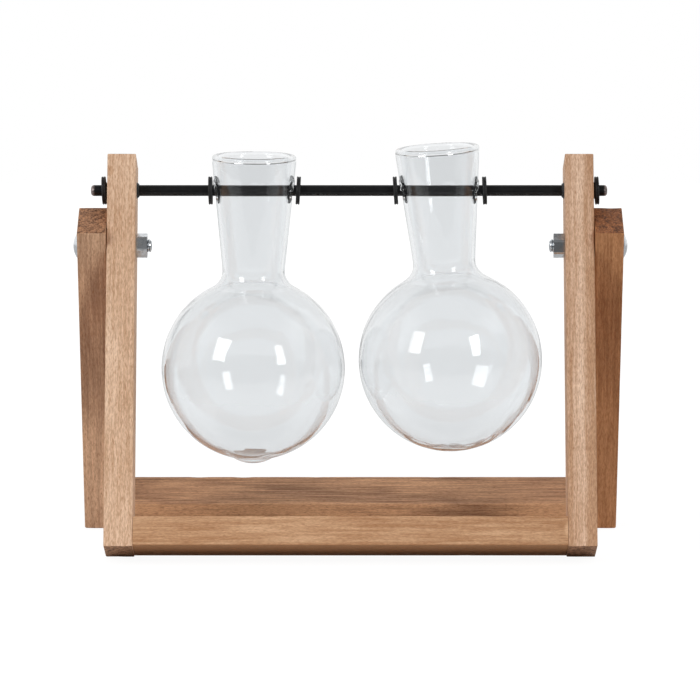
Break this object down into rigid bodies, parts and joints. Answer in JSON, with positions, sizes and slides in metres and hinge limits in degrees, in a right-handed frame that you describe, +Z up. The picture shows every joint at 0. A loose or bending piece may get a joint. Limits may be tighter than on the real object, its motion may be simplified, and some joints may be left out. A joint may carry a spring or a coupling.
{
  "type": "propagation vase",
  "caption": "Tabletop propagation vase: round-bottomed glass flasks hung from a rod between the posts of a folding wooden easel.",
  "frame": {"origin": "middle of the footprint, on the table that the stand rests on", "axes": "+Z up, +X along the rod to the viewer's right, front of the stand towards -Y"},
  "size_m": [0.2484, 0.1226, 0.1798],
  "materials": {
    "front_wood": "clear satin lacquer",
    "rear_wood": "clear satin lacquer",
    "glass": "clear blown glass",
    "rubber": "matt black",
    "black_rod": "satin black",
    "zinc": "bright zinc plate",
    "nail_steel": "plain steel"
  },
  "bodies": {
    "front_frame": {"left_post": "front_wood", "right_post": "front_wood", "front_rail": "front_wood", "front_rail_nails": "nail_steel", "left_post_bush": "rubber", "right_post_bush": "rubber"},
    "rear_frame": {"left_leg": "rear_wood", "right_leg": "rear_wood", "rear_rail": "rear_wood", "rear_rail_nails": "nail_steel", "left_pivot_bolt": "zinc", "right_pivot_bolt": "zinc", "left_pivot_nut": "zinc", "right_pivot_nut": "zinc"},
    "rod_and_end_rings": {"rod": "black_rod", "left_end_ring": "rubber", "right_end_ring": "rubber"},
    "left_rings": {"left_flask_outer_ring": "rubber", "left_flask_inner_ring": "rubber"},
    "right_rings": {"right_flask_inner_ring": "rubber", "right_flask_outer_ring": "rubber"},
    "left_flask": {"left_flask": "glass"},
    "right_flask": {"right_flask": "glass"}
  },
  "joints": [
    {"name": "rear_frame_fold", "type": "hinge", "parent": "front_frame", "child": "rear_frame", "pos_m": [0, -0.00049, 0.13507], "axis": [1, 0, 0], "range_deg": [-30, 45]},
    {"name": "rod_turn", "type": "hinge", "parent": "front_frame", "child": "rod_and_end_rings", "pos_m": [0, 0.00848, 0.15894], "axis": [1, 0, 0], "continuous": true},
    {"name": "left_flask_slide", "type": "slide", "parent": "front_frame", "child": "left_rings", "axis": [1, 0, 0], "range_m": [-0.0103, 0.0029]},
    {"name": "left_flask_swing", "type": "hinge", "parent": "left_rings", "child": "left_flask", "pos_m": [0, 0.00848, 0.15894], "axis": [1, 0, 0], "continuous": true},
    {"name": "right_flask_slide", "type": "slide", "parent": "front_frame", "child": "right_rings", "axis": [1, 0, 0], "range_m": [-0.0029, 0.0091]},
    {"name": "right_flask_swing", "type": "hinge", "parent": "right_rings", "child": "right_flask", "pos_m": [0, 0.00848, 0.15894], "axis": [1, 0, 0], "continuous": true}
  ]
}
